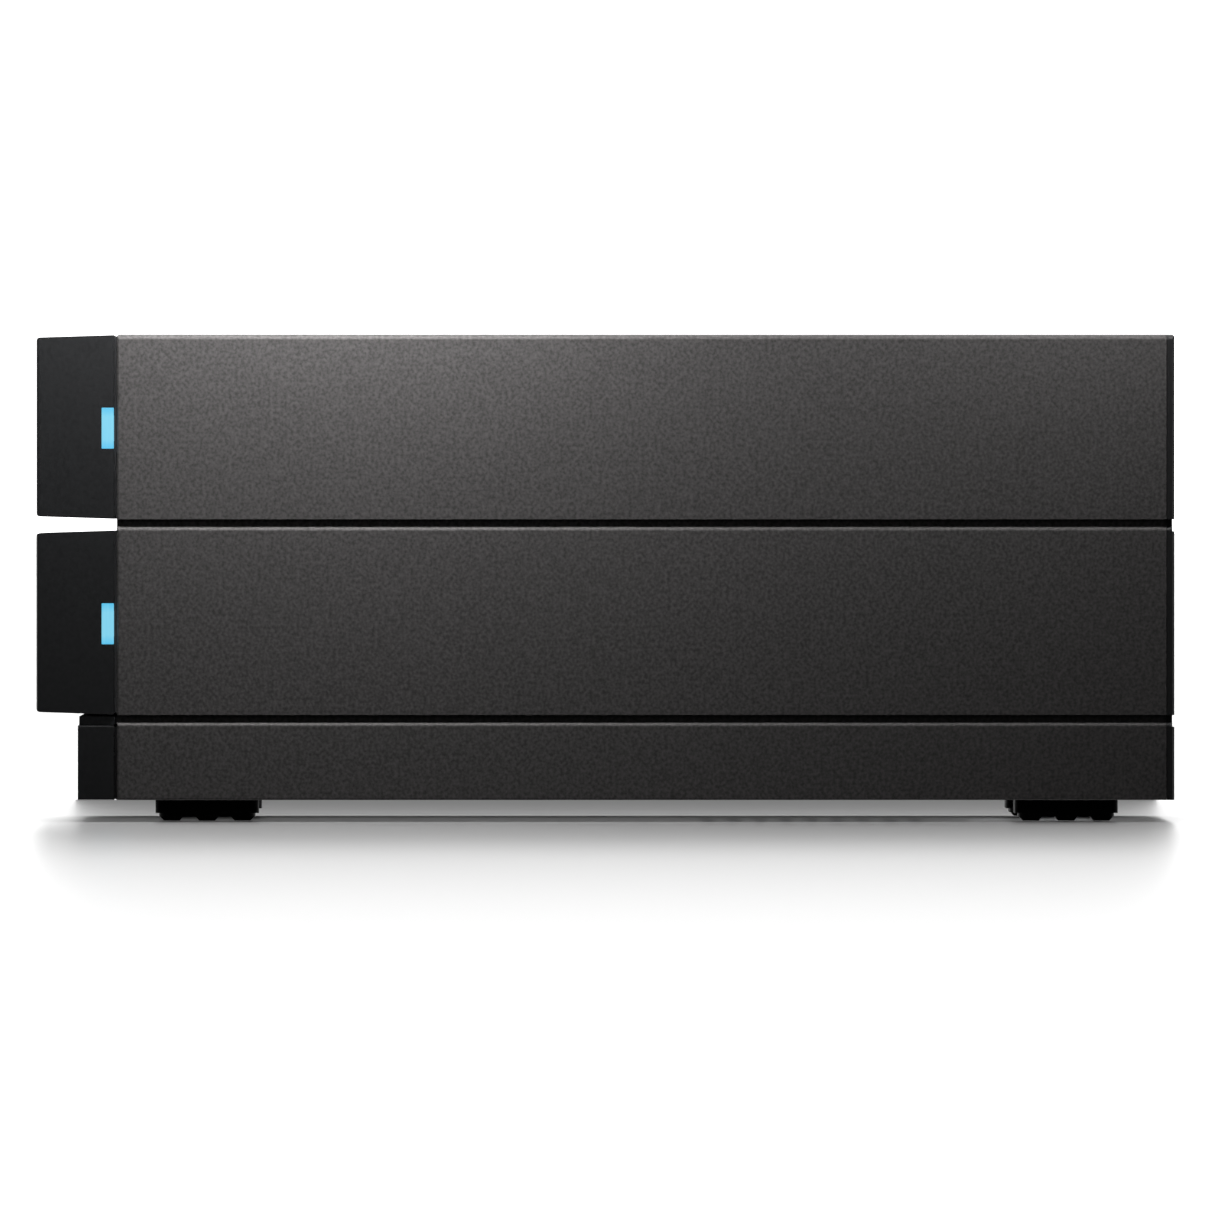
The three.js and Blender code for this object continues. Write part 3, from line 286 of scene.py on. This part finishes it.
GREEN_LENS = finish("green_lens", (0.1, 0.34, 0.12), 0.3, grain=0.6, tone=0.08)
AMBER_LENS = finish("amber_lens", (0.5, 0.28, 0.04), 0.3, grain=0.6, tone=0.08)
STICKER = finish("blank_sticker", (0.24, 0.25, 0.26), 0.45, grain=0.9, tone=0.05)
PAPER = (0.42, 0.43, 0.44)
BLUE_PRINT = (0.04, 0.14, 0.26)
DIM_PAPER = (0.3, 0.31, 0.32)
BLACK_PRINT = (0.12, 0.12, 0.13)
PALE_LIGHT = (0.24, 0.68, 0.88)
DEEP_LIGHT = (0.1, 0.56, 0.87)


# ---- Meshes ----

def new_piece(name, bm, material, body, smooth_angle=50):
    """Makes an object from a mesh in millimetres, smooth but for its sharp edges, riding on a body."""
    bmesh.ops.scale(bm, vec=(MM, MM, MM), verts=bm.verts)
    bmesh.ops.recalc_face_normals(bm, faces=bm.faces)
    limit = math.radians(smooth_angle)
    many_corners = 12
    for face in bm.faces:
        face.smooth = len(face.verts) < many_corners  # pierced plates stay truly flat
    for edge in bm.edges:
        edge.smooth = len(edge.link_faces) == 2 and edge.calc_face_angle() < limit
    mesh = bpy.data.meshes.new(name)
    bm.to_mesh(mesh)
    bm.free()
    mesh.materials.append(material)
    piece = bpy.data.objects.new(name, mesh)
    bpy.context.scene.collection.objects.link(piece)
    shading = piece.modifiers.new("flat faces stay flat", "WEIGHTED_NORMAL")
    shading.keep_sharp = True
    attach(piece, body)
    return piece


def round_edges(bm, width, segments=2, least_angle=35):
    """Rounds every edge that turns by more than least_angle degrees."""
    limit = math.radians(least_angle)
    edges = [e for e in bm.edges if len(e.link_faces) == 2 and e.calc_face_angle() > limit]
    bmesh.ops.bevel(bm, geom=edges, offset=width, offset_type="OFFSET", segments=segments, profile=0.5,
                    affect="EDGES", clamp_overlap=True)


def solid_of(node):
    """A CAD node's solid in millimetres, with each flat face whole again."""
    bm = bmesh.new()
    bm.from_mesh(frame["nodes"][node].data)
    bmesh.ops.scale(bm, vec=(1 / MM, 1 / MM, 1 / MM), verts=bm.verts)
    bmesh.ops.remove_doubles(bm, verts=bm.verts, dist=0.001)
    bmesh.ops.dissolve_limit(bm, angle_limit=math.radians(0.4), verts=bm.verts, edges=bm.edges)
    return bm


def add_box(bm, corner, opposite):
    size = [abs(b - a) for a, b in zip(corner, opposite)]
    middle = [(a + b) / 2 for a, b in zip(corner, opposite)]
    place = Matrix.Translation(middle) @ Matrix.Diagonal((*size, 1))
    return bmesh.ops.create_cube(bm, size=1, matrix=place)["verts"]


def add_rod(bm, centre, radius, height, axis="z", sides=24):
    """A cylinder, centred at a point, along Z or Y."""
    turn = Matrix.Rotation(-math.pi / 2, 4, "X") if axis == "y" else Matrix.Identity(4)
    bmesh.ops.create_cone(bm, cap_ends=True, segments=sides, radius1=radius, radius2=radius, depth=height,
                          matrix=Matrix.Translation(centre) @ turn)


def add_ring(bm, centre, outer, inner, depth, sides=32):
    """A flat ring around a line along Y. Its middle is at a point."""
    corners = [(outer, -depth / 2), (outer, depth / 2), (inner, depth / 2), (inner, -depth / 2)]
    verts = [bm.verts.new(Vector(centre) + Vector((radius, y, 0))) for radius, y in corners]
    edges = [bm.edges.new((verts[i], verts[i - 1])) for i in range(4)]
    bmesh.ops.spin(bm, geom=verts + edges, cent=centre, axis=(0, 1, 0), angle=2 * math.pi, steps=sides,
                   use_merge=True)


def add_plate(bm, corner, opposite, corner_radius):
    """A thin level plate with round corners."""
    verts = add_box(bm, corner, opposite)
    edges = [e for e in bm.edges if all(v in verts for v in e.verts)]
    upright = [e for e in edges if abs(e.verts[0].co.z - e.verts[1].co.z) > 0.01]
    bmesh.ops.bevel(bm, geom=upright, offset=corner_radius, offset_type="OFFSET", segments=5, profile=0.5,
                    affect="EDGES")


def add_screw(bm, head, facing, radius, flatten=0.4):
    """A copy of a panel screw with its head's face centred at a point and turned along a direction."""
    pattern = "panel_screw_top_left"
    low, high = extent(pattern)
    centre = Vector(((low.x + high.x) / 2, high.y, (low.z + high.z) / 2))
    grow = 2 * radius / (high.x - low.x)
    turn = Vector((0, 1, 0)).rotation_difference(Vector(facing)).to_matrix().to_4x4()
    size = Matrix.Diagonal((grow, grow * flatten, grow, 1))
    copy = solid_of(pattern)
    place = Matrix.Translation(head) @ turn @ size @ Matrix.Translation(-centre)
    bmesh.ops.transform(copy, matrix=place, verts=copy.verts)
    mesh = bpy.data.meshes.new("screw copy")
    copy.to_mesh(mesh)
    copy.free()
    bm.from_mesh(mesh)
    bpy.data.meshes.remove(mesh)


def extent(node):
    """A node's lowest and highest corner, in millimetres."""
    low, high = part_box(node)
    return low / MM, high / MM


def detail(name, node, build, material, width=0.0, slot=None):
    """One small piece that isn't a CAD node. It rides with a node, and build(bm) makes its mesh."""
    bm = bmesh.new()
    build(bm)
    if width:
        round_edges(bm, width, 1)
    return new_piece(name, bm, material, BODY_OF[node])


# ---- The CAD pieces, with rounded edges ----

EDGE_WIDTHS = {
    "enclosure_shell": 0.1, "bezel": 0.2, "front_panel": 0.18, "bay_floor": 0.15, "power_button": 0.2,
    "button_light_ring": 0.15, "foot": 0.22, "rear_panel": 0.15, "base_plate": 0.12, "panel_screw": 0.16,
    "fan_screw": 0.16, "drive_screw": 0.16, "tray": 0.15, "side_guide": 0.15, "drive_body": 0.3,
    "drive_cover": 0.12, "lock_barrel": 0.2, "lock_cam": 0.2, "fan_frame": 0.25, "fan_rotor": 0.12,
    "ethernet_jack": 0.12, "heat_sink": 0.12, "processor": 0.15, "power_inlet": 0.2, "light_pipe": 0.12,
}


def edge_width(node):
    """How wide a node's rounded edges are, in millimetres, by the start of its name."""
    matches = [width for stem, width in EDGE_WIDTHS.items() if node.startswith(stem)]
    return matches[0] if matches else 0.08


def line_cavity(piece, node, material):
    """Gives the faces inside a metal socket the material of its plastic lining."""
    low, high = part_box(node)
    skin = Vector((0.6, 0.6, 0.6)) * MM
    piece.data.materials.append(material)
    for face in piece.data.polygons:
        if all(a < c < b for a, c, b in zip(low + skin, face.center, high - skin)):
            face.material_index = 1


def dress(node):
    """Replaces a CAD node with its own solid, given rounded edges and a finish."""
    bm = solid_of(node)
    round_edges(bm, edge_width(node))
    # The bay floor takes the paler black, whose colour is painted light that lifts its shaded front edge.
    material = BLACK_WITH_PAINTED_LIGHT if node == "bay_floor" else MATERIALS[SLOT_OF[node]]
    piece = new_piece(f"{node}_shape", bm, material, BODY_OF[node])
    if node.startswith("ethernet_jack"):
        line_cavity(piece, node, MATERIALS["connector_plastic"])
    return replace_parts(piece, node)


for bay in BAYS:
    low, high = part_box(f"light_pipe_{bay}")
    lit_depth = 3.6
    window = (Vector((high.x - lit_depth * MM, low.y, low.z)), high)
    MATERIALS["blue_light"] = glowing(f"blue_light_{bay}", PALE_LIGHT, DEEP_LIGHT, 0.93, window)
    dress(f"light_pipe_{bay}")

for node in sorted(frame["nodes"]):
    if not node.startswith("light_pipe"):
        dress(node)


# ---- Small parts that the CAD model leaves out ----

def add_jack_parts(node):
    """Eight sprung contacts hang from the top of the cavity, and two status lenses sit above it."""
    low, high = extent(node)
    centre = (low.x + high.x) / 2
    ceiling = high.z - 2.9
    pitch = 1.02
    slope = Matrix.Rotation(math.radians(16), 3, "X")

    def contacts(bm):
        for i in range(8):
            x = centre + (i - 3.5) * pitch
            verts = add_box(bm, (x - 0.22, high.y - 12, ceiling - 0.3), (x + 0.22, high.y - 3.5, ceiling))
            bmesh.ops.rotate(bm, cent=(x, high.y - 3.5, ceiling), matrix=slope, verts=verts)

    detail(f"{node}_contacts", node, contacts, GOLD, 0.04)
    for side, color, material in ((-1, "green", GREEN_LENS), (1, "amber", AMBER_LENS)):
        inner, outer = centre + side * 3.2, centre + side * 6.4

        def lens(bm):
            add_box(bm, (inner, high.y - 0.2, high.z - 2.2), (outer, high.y + 0.15, high.z - 0.7))

        detail(f"{node}_{color}_lens", node, lens, material, 0.1)


def add_usb_parts(node, opens):
    """A blue sleeve over the tongue, and contacts. opens is -1 for a front port and 1 for a rear one."""
    low, high = extent(node)
    mouth = low.y if opens < 0 else high.y
    middle = (low.x + high.x) / 2
    half = (high.x - low.x) / 2 - 1.25
    bottom = (low.z + high.z) / 2 + 0.05

    def sleeve(bm):
        add_box(bm, (middle - half, mouth - opens * 0.7, bottom),
                (middle + half, mouth - opens * 10, high.z - 1.05))

    def contacts(bm):
        for offset in (-3.5, -1, 1, 3.5):
            x = middle + offset
            add_box(bm, (x - 0.5, mouth - opens * 1.3, bottom - 0.12),
                    (x + 0.5, mouth - opens * 8, bottom + 0.05))

    detail(f"{node}_tongue", node, sleeve, BLUE_PLASTIC, 0.1)
    detail(f"{node}_contacts", node, contacts, GOLD, 0.03)


def add_inlet_parts(node):
    """A plated pin and a metal collar around the well."""
    low, high = extent(node)
    middle, axis_z = (low.x + high.x) / 2, low.z + 6.3

    def metal(bm):
        add_rod(bm, (middle, high.y - 5.5, axis_z), 1.06, 8.6, "y", 20)
        add_ring(bm, (middle, high.y - 0.2, axis_z), 3.9, 3.22, 0.5)

    detail(f"{node}_pin_and_collar", node, metal, BRIGHT_TIN, 0.06, slot="port_metal")


def add_drive_parts(bay):
    """The disk's cover has six rim screws, a spindle screw in its dimple and a sticker with no words."""
    node = f"drive_cover_{bay}"
    low, high = extent(node)
    spindle_y = low.y + 50.4
    label_low, label_high = Vector((-37, spindle_y + 14, high.z)), Vector((37, high.y - 8, high.z + 0.1))

    def screws(bm):
        for x in (low.x + 2.5, high.x - 2.5):
            for y in (low.y + 5, (low.y + high.y) / 2, high.y - 5):
                add_screw(bm, (x, y, high.z), (0, 0, 1), 1.9)
        add_screw(bm, (0, spindle_y, high.z - 0.05), (0, 0, 1), 2.6, 0.15)

    detail(f"drive_cover_screws_{bay}", node, screws, MATERIALS["screw_steel"], slot="screw_steel")
    paper = label_material(f"drive_label_{bay}", PAPER, BLUE_PRINT, label_low * MM, label_high * MM)
    detail(f"drive_label_{bay}", node, lambda bm: add_plate(bm, label_low, label_high, 2), paper)


def populate(board, place, area, keep_out, seed, tallest=1.0, pitch=6.2):
    """Chips and small two-ended parts in loose rows over a board's face.

    place(u, v, rise) gives the point that stands that far off the face. keep_out holds (u, v) ranges.
    """
    rng = random.Random(seed)
    shift = 0.7
    clear = 2.8
    groups = {"chips": (bmesh.new(), MATERIALS["chip"], "chip"),
              "bodies": (bmesh.new(), TAN_PLASTIC, "circuit_board"),
              "leads": (bmesh.new(), BRIGHT_TIN, "port_metal")}
    chips, bodies, leads = (group[0] for group in groups.values())

    def box(bm, u, v, half_u, half_v, rise, foot=0.0):
        add_box(bm, place(u - half_u, v - half_v, foot), place(u + half_u, v + half_v, rise))

    (u0, u1), (v0, v1) = area
    for i in range(int((u1 - u0) / pitch)):
        for j in range(int((v1 - v0) / pitch)):
            u = u0 + (i + 0.5) * pitch + rng.uniform(-shift, shift)
            v = v0 + (j + 0.5) * pitch + rng.uniform(-shift, shift)
            kind = rng.random()
            if any(a - clear < u < b + clear and c - clear < v < d + clear for (a, b), (c, d) in keep_out):
                continue
            if kind < 0.16:
                box(chips, u, v, 1.9, 1.4, 0.9 * tallest, 0.15)
                for leg in range(4):
                    box(leads, u - 1.35 + 0.9 * leg, v, 0.16, 2.1, 0.2)
            elif kind < 0.72:
                long_u = kind < 0.45
                half_u, half_v = (0.8, 0.42) if long_u else (0.42, 0.8)
                body_half_v = half_v if long_u else half_v * 0.62
                box(bodies, u, v, half_u * 0.62, body_half_v, 0.4 * tallest)
                for end in (-0.65, 0.65):
                    if long_u:
                        box(leads, u + end, v, 0.2, half_v, 0.43 * tallest)
                    else:
                        box(leads, u, v + end, half_u, 0.2, 0.43 * tallest)
    for label, (bm, material, slot) in groups.items():
        new_piece(f"{board}_{label}", bm, material, BODY_OF[board])


def add_main_board_parts():
    low, high = extent("main_board")
    top = 9.8  # the board's upper face. The backplane's connector stands higher.
    heat_sink = ((-26, 10), (-50, -14))
    backplane_slot = ((-37, 37), (65, 71))
    rear_ports = ((-42, 48), (84, 105))
    front_usb = ((8, 24), (-93, -80))
    power_switch = ((34, 42), (-93, -87))
    memory = ((14, 36), (-48, -16))
    capacitors = ((-44, -22), (74, 86))
    clock_cell = ((22, 40), (-74, -54))
    standoffs = [((x - 3, x + 3), (y - 3, y + 3)) for x in (-40, 0, 40) for y in (-80, -5, 70)]
    taken = [heat_sink, backplane_slot, rear_ports, front_usb, power_switch, memory, capacitors, clock_cell]
    populate("main_board", lambda u, v, rise: (u, v, top + rise), ((low.x + 2, high.x - 2), (-84, 84)),
             taken + standoffs, 11)

    def large_chips(bm):
        for y in (-42, -24):
            add_box(bm, (19, y - 6.5, top + 0.2), (30, y + 6.5, top + 1.3))
        for x, y in ((-32, 30), (24, 24), (-14, 52)):
            add_box(bm, (x - 5, y - 5, top + 0.2), (x + 5, y + 5, top + 1.5))

    def cans(bm):
        for x in (-39, -31, -23):
            add_rod(bm, (x, 80, top + 3.6), 3.1, 7.2, sides=28)
        add_rod(bm, (31, -64, top + 1.9), 7.8, 3.2, sides=40)
        add_box(bm, (-38, 2, top), (-27, 6.5, top + 3))

    detail("main_board_large_chips", "main_board", large_chips, MATERIALS["chip"], 0.15, "chip")
    detail("main_board_cans", "main_board", cans, BRIGHT_TIN, 0.3, "port_metal")


def add_backplane_parts():
    low, high = extent("backplane_board")
    bay_floors = (20.2, 57.5)
    windows = [(columns, (floor + 14, floor + 28)) for floor in bay_floors
               for columns in ((-43, -16), (-10, 12), (18, 43))]
    populate("backplane_board", lambda u, v, rise: (u, high.y + rise, v),
             ((low.x + 2, high.x - 2), (24, high.z - 2)), windows, 12)


def add_drive_board_parts():
    for bay in BAYS:
        board = f"drive_board_{bay}"
        low, high = extent(board)
        spindle = ((-14, 14), (low.y, low.y + 19))
        cut_corner = ((26, high.x), (18, high.y))
        populate(board, lambda u, v, rise: (u, v, low.z - rise),
                 ((low.x + 2, high.x - 2), (low.y + 2, high.y - 2)), [spindle, cut_corner], 13, 0.6, 7.5)


def add_base_parts():
    """Eight screws and a label with no words on the underside."""
    underside = extent("base_plate")[0].z

    def screws(bm):
        for x in (-53.5, 53.5):
            for y in (-58, -10, 35, 70):
                add_screw(bm, (x, y, underside - 0.1), (0, 0, -1), 2.4)

    detail("base_plate_screws", "base_plate", screws, MATERIALS["black_steel"], slot="black_steel")
    label_low, label_high = Vector((-22, 70, underside - 0.1)), Vector((22, 98, underside))
    paper = label_material("base_label", DIM_PAPER, BLACK_PRINT, label_low * MM, label_high * MM)
    detail("base_label", "base_plate", lambda bm: add_plate(bm, label_low, label_high, 1.5), paper)


def add_fan_parts():
    """A round blank sticker on the back of the frame's middle and one on the front of the hub."""
    low, high = extent("fan_frame")
    hub_z = (low.z + high.z) / 2
    hub_front = extent("fan_rotor")[0].y
    for name, node, y, radius in (("fan_frame_sticker", "fan_frame", high.y + 0.04, 13.4),
                                  ("fan_hub_sticker", "fan_rotor", hub_front - 0.04, 12.5)):
        detail(name, node, lambda bm: add_rod(bm, (0, y, hub_z), radius, 0.1, "y", 48), STICKER)


for node in ("ethernet_jack_1", "ethernet_jack_2"):
    add_jack_parts(node)
add_usb_parts("front_usb_port", -1)
add_usb_parts("rear_usb_port", 1)
add_inlet_parts("power_inlet")
for bay in BAYS:
    add_drive_parts(bay)
add_main_board_parts()
add_backplane_parts()
add_drive_board_parts()
add_base_parts()
add_fan_parts()


# ---- Stage, lights and camera ----

def stage_plane(name, size, place, turn=0.0):
    """A flat square or strip that isn't part of the unit. size is its full (width, length) in metres."""
    bm = bmesh.new()
    bmesh.ops.create_grid(bm, x_segments=1, y_segments=1, size=0.5)
    bmesh.ops.scale(bm, vec=(*size, 1), verts=bm.verts)
    mesh = bpy.data.meshes.new(name)
    bm.to_mesh(mesh)
    bm.free()
    plane = bpy.data.objects.new(name, mesh)
    plane.location = place
    plane.rotation_euler = (0, turn, 0)
    bpy.context.scene.collection.objects.link(plane)
    material, tree, shader = new_material(name)
    mesh.materials.append(material)
    return plane, tree, shader


def add_stage():
    """A satin floor, and behind the unit a dark flag, seen in reflections alone, that darkens its sheen."""
    floor, _, shader = stage_plane("floor", (120, 120), (0, 0, -0.0002))
    shader.inputs["Base Color"].default_value = (0.32, 0.32, 0.32, 1)
    shader.inputs["Roughness"].default_value = 0.28
    shader.inputs["Specular IOR Level"].default_value = 1.0
    # It throws no light back on the unit.
    floor.visible_diffuse = False
    floor.visible_glossy = False

    height = 0.16
    length = 0.222  # a little more than the unit's
    flag, tree, shader = stage_plane("flag", (height, length), (-0.38, 0.0045, height / 2), math.pi / 2)
    shader.inputs["Base Color"].default_value = (0.01, 0.01, 0.01, 1)
    flag.visible_camera = False
    flag.visible_diffuse = False
    flag.visible_shadow = False
    # It works on its front alone. From behind, light passes through.
    back = tree.nodes.new("ShaderNodeNewGeometry").outputs["Backfacing"]
    clear = tree.nodes.new("ShaderNodeBsdfTransparent")
    one_sided = tree.nodes.new("ShaderNodeMixShader")
    tree.links.new(back, one_sided.inputs[0])
    tree.links.new(shader.outputs[0], one_sided.inputs[1])
    tree.links.new(clear.outputs[0], one_sided.inputs[2])
    tree.links.new(one_sided.outputs[0], tree.nodes["Material Output"].inputs["Surface"])


def add_area_light(name, place, target, size, power):
    light = bpy.data.lights.new(name, "AREA")
    light.shape = "RECTANGLE"
    light.size, light.size_y = size
    light.energy = power
    lamp = bpy.data.objects.new(name, light)
    lamp.location = place
    lamp.rotation_euler = (Vector(target) - Vector(place)).to_track_quat("-Z", "Y").to_euler()
    lamp.visible_camera = False
    bpy.context.scene.collection.objects.link(lamp)


def add_side_lights():
    """Soft lamps close to the near side, strongest at the front, so its tone falls off to the rear."""
    near_side = CAD_BOX[1].x
    for y, clear, height, power in ((-0.11, 0.039, 0.14, 0.058), (-0.11, 0.056, 0.19, 0.092),
                                    (-0.04, 0.039, 0.14, 0.108), (0.03, 0.039, 0.14, 0.025),
                                    (0.1, 0.039, 0.14, 0.05)):
        add_area_light("side", (near_side + clear, y, height), (near_side, y, 0.07), (0.07, 0.035), power)


def add_sun(name, lean, spread, strength):
    """A broad even light from overhead, leaning back behind the unit by some degrees."""
    light = bpy.data.lights.new(name, "SUN")
    light.energy = strength
    light.angle = math.radians(spread)
    lamp = bpy.data.objects.new(name, light)
    lamp.rotation_euler = (0, math.radians(-lean), 0)
    bpy.context.scene.collection.objects.link(lamp)


def add_world():
    """A white studio, bright behind the unit and dim on the camera's side. The camera sees plain white."""
    world = bpy.data.worlds.new("studio")
    bpy.context.scene.world = world
    world.use_nodes = True
    tree = world.node_tree
    background = tree.nodes["Background"]
    toward = add_node(tree, "ShaderNodeSeparateXYZ",
                      [("Vector", tree.nodes.new("ShaderNodeTexCoord").outputs["Generated"])])
    bright, dim = 2.2, 0.015
    level = ranged(tree, toward.outputs["X"], bright, dim, -0.55, -0.1)
    seen = tree.nodes.new("ShaderNodeLightPath").outputs["Is Camera Ray"]
    strength = add_node(tree, "ShaderNodeMath", [(0, level), (1, seen)])
    strength.operation = "MAXIMUM"
    background.inputs["Color"].default_value = (1, 1, 1, 1)
    tree.links.new(strength.outputs[0], background.inputs["Strength"])


def add_camera():
    """A long lens from the right-hand side, a little above the desk."""
    distance = 5.7
    height = 0.06
    swing = -0.03
    sensor = 36.0
    picture_width = 1.0666 * (CAD_BOX[1].y - CAD_BOX[0].y)  # what the frame spans at the near side
    near_side = CAD_BOX[1].x
    camera = bpy.data.cameras.new("camera")
    camera.sensor_width = sensor
    camera.lens = sensor * distance / picture_width
    camera.clip_end = 200
    view = bpy.data.objects.new("camera", camera)
    view.location = (near_side + distance, swing, height)
    aim = Vector((near_side, 0.0003, 0.0408))
    view.rotation_euler = (aim - view.location).to_track_quat("-Z", "Y").to_euler()
    bpy.context.scene.collection.objects.link(view)
    bpy.context.scene.camera = view


add_stage()
add_world()
add_camera()
add_side_lights()
add_sun("overhead", 25, 60, 1.5)
add_area_light("front_fill", (0.9, -0.9, 0.4), (0.06, -0.05, 0.04), (0.4, 0.4), 0.55)
bpy.context.scene.view_settings.view_transform = "Standard"
